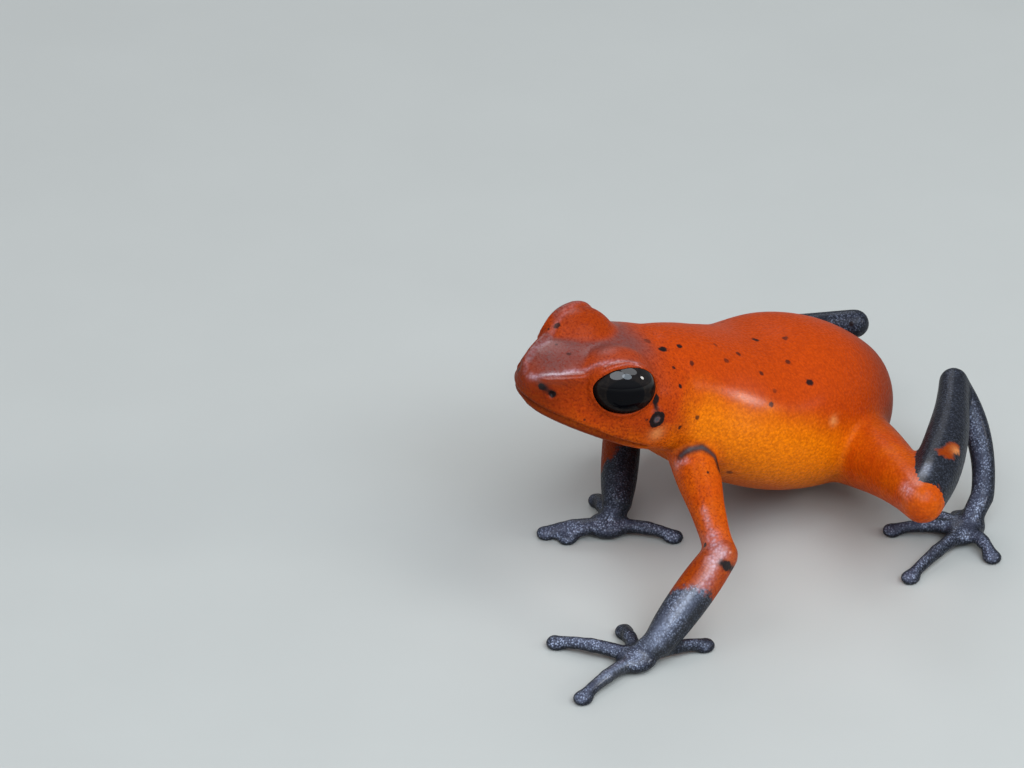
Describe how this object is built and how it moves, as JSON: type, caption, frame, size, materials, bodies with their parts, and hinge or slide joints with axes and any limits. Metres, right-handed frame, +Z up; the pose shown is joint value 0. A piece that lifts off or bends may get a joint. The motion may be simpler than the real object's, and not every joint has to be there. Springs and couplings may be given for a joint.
{
  "type": "poison dart frog",
  "caption": "Small red frog with blue-black limbs, alert on all fours with one arm stretched out sideways, as a still museum-type figure.",
  "frame": {"origin": "middle of the footprint box, on the plane that the hands and feet rest on", "axes": "+Z up, the frog faces -Y, its left side is towards +X"},
  "size_m": [0.0212, 0.0248, 0.012],
  "materials": {
    "red_skin": "moist, finely granular orange-red skin with small black spots",
    "blue_black_skin": "moist, granular blue-black skin with a silvery sheen",
    "eye": "wet, glossy black"
  },
  "bodies": {
    "root": {"head": "red_skin", "torso": "red_skin", "eye_left": "eye", "upper_arm_left": "red_skin", "forearm_left": "blue_black_skin", "hand_left": "blue_black_skin", "thigh_left": "red_skin", "shank_left": "blue_black_skin", "tarsus_left": "blue_black_skin", "foot_left": "blue_black_skin", "eye_right": "eye", "upper_arm_right": "red_skin", "forearm_right": "blue_black_skin", "hand_right": "blue_black_skin", "thigh_right": "red_skin", "shank_right": "blue_black_skin", "tarsus_right": "blue_black_skin", "foot_right": "blue_black_skin"}
  },
  "joints": []
}
